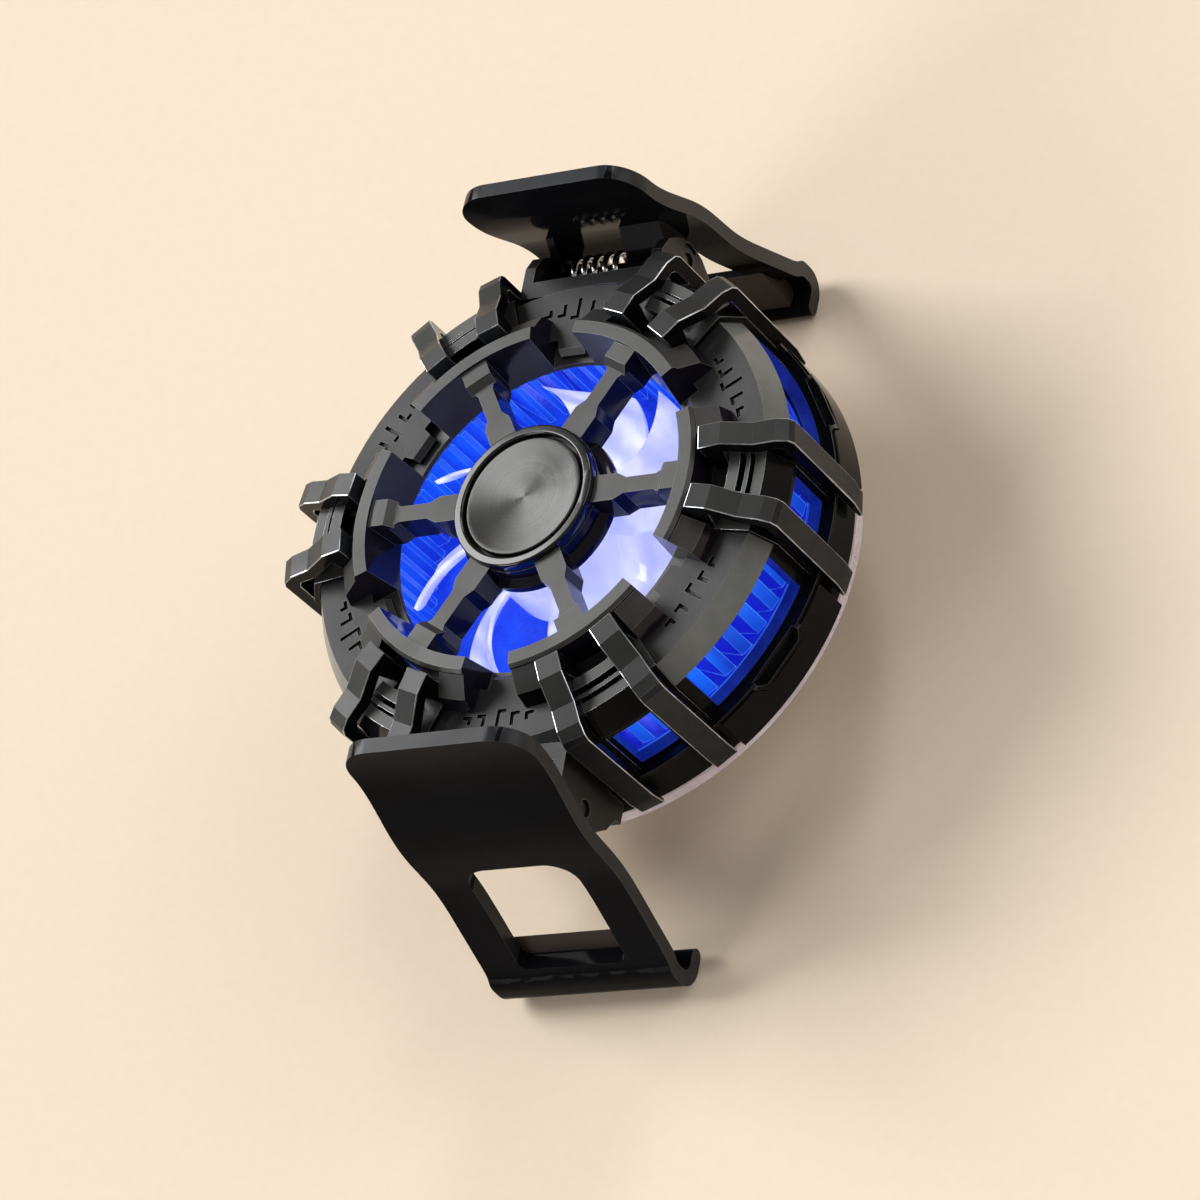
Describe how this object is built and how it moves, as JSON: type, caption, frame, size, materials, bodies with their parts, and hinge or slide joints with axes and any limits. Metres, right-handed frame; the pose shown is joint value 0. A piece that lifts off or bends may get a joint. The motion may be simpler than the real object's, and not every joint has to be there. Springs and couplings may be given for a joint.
{
  "type": "phone cooling fan",
  "caption": "Clip-on phone cooler: round armoured fan over a lit finned heat sink, with a cold plate at the back and two sprung clip arms.",
  "frame": {"origin": "centre of the cold plate's contact face", "axes": "+Z along the fan's axis, out of the front grille; +Y towards the upper arm"},
  "size_m": [0.0512, 0.0715, 0.0327],
  "materials": {
    "arm_gloss": "polished",
    "band_black": "polished",
    "blade_plastic": "translucent",
    "blue_aluminium": "blue anodised, lit",
    "bronze": "sintered",
    "ceramic": "ceramic",
    "clear_plastic": "clear",
    "clip_base_black": "satin",
    "cold_plate_metal": "lapped",
    "control_board": "coated board",
    "cover_black": "fine texture",
    "foam": "foam",
    "frame_black": "polished",
    "housing_black": "polished",
    "led_board": "coated board",
    "magnet": "ground",
    "motor_plastic": "moulded",
    "pad_rubber": "smooth",
    "panel_gloss": "polished",
    "pin_steel": "ground",
    "rim_black": "gloss",
    "satin_grey": "satin",
    "screw_steel": "blackened",
    "shaft_steel": "ground",
    "socket_steel": "plated",
    "spring_steel": "bright",
    "spun_steel": "spun",
    "stator_iron": "laminated",
    "strap_black": "satin tops with polished edges"
  },
  "bodies": {
    "housing": {"bearing_bush": "bronze", "clear_light_ring": "clear_plastic", "cold_plate": "cold_plate_metal", "control_board": "control_board", "cover_screws": "screw_steel", "cross_frame_1": "frame_black", "cross_frame_2": "frame_black", "cross_frame_3": "frame_black", "cross_frame_4": "frame_black", "cross_frame_5": "frame_black", "cross_frame_6": "frame_black", "front_bezel": "satin_grey", "front_grille": "satin_grey", "heat_sink": "blue_aluminium", "hub_disc": "spun_steel", "hub_rim": "rim_black", "insulation_ring": "foam", "led_board": "led_board", "lower_band": "band_black", "lower_clip_base": "clip_base_black", "lower_clip_screws": "screw_steel", "lower_hinge_pin": "pin_steel", "lower_torsion_spring": "spring_steel", "motor_base": "motor_plastic", "peltier_module": "ceramic", "rear_cover": "cover_black", "stator": "stator_iron", "strap_1_left": "strap_black", "strap_1_right": "strap_black", "strap_2_left": "strap_black", "strap_2_right": "strap_black", "strap_3_left": "strap_black", "strap_3_right": "strap_black", "strap_4_left": "strap_black", "strap_4_right": "strap_black", "strap_5_left": "strap_black", "strap_5_right": "strap_black", "strap_6_left": "strap_black", "strap_6_right": "strap_black", "trim_panel_1": "panel_gloss", "trim_panel_2": "panel_gloss", "trim_panel_3": "panel_gloss", "trim_panel_4": "panel_gloss", "upper_clip_base": "clip_base_black", "upper_clip_screws": "screw_steel", "upper_hinge_pin": "pin_steel", "upper_torsion_spring": "spring_steel", "usb_c_socket": "socket_steel", "window_housing": "housing_black"},
    "impeller": {"impeller": "blade_plastic", "motor_shaft": "shaft_steel", "rotor_magnet": "magnet"},
    "upper_arm": {"upper_arm": "arm_gloss", "upper_jaw_pad": "pad_rubber"},
    "lower_arm": {"lower_arm": "arm_gloss", "lower_jaw_pad": "pad_rubber"}
  },
  "joints": [
    {"name": "fan_spin", "type": "hinge", "parent": "housing", "child": "impeller", "pos_m": [0, 0, 0.009], "axis": [0, 0, 1], "continuous": true},
    {"name": "upper_arm_hinge", "type": "hinge", "parent": "housing", "child": "upper_arm", "pos_m": [0, 0.0269, 0.0091], "axis": [1, 0, 0], "range_deg": [0, 25.5], "stiffness_Nm_per_rad": 0.12, "springref_deg": -34.38, "deforming": ["upper_torsion_spring"]},
    {"name": "lower_arm_hinge", "type": "hinge", "parent": "housing", "child": "lower_arm", "pos_m": [0, -0.0269, 0.0091], "axis": [-1, 0, 0], "range_deg": [0, 22], "stiffness_Nm_per_rad": 0.12, "springref_deg": -34.38, "deforming": ["lower_torsion_spring"]}
  ]
}
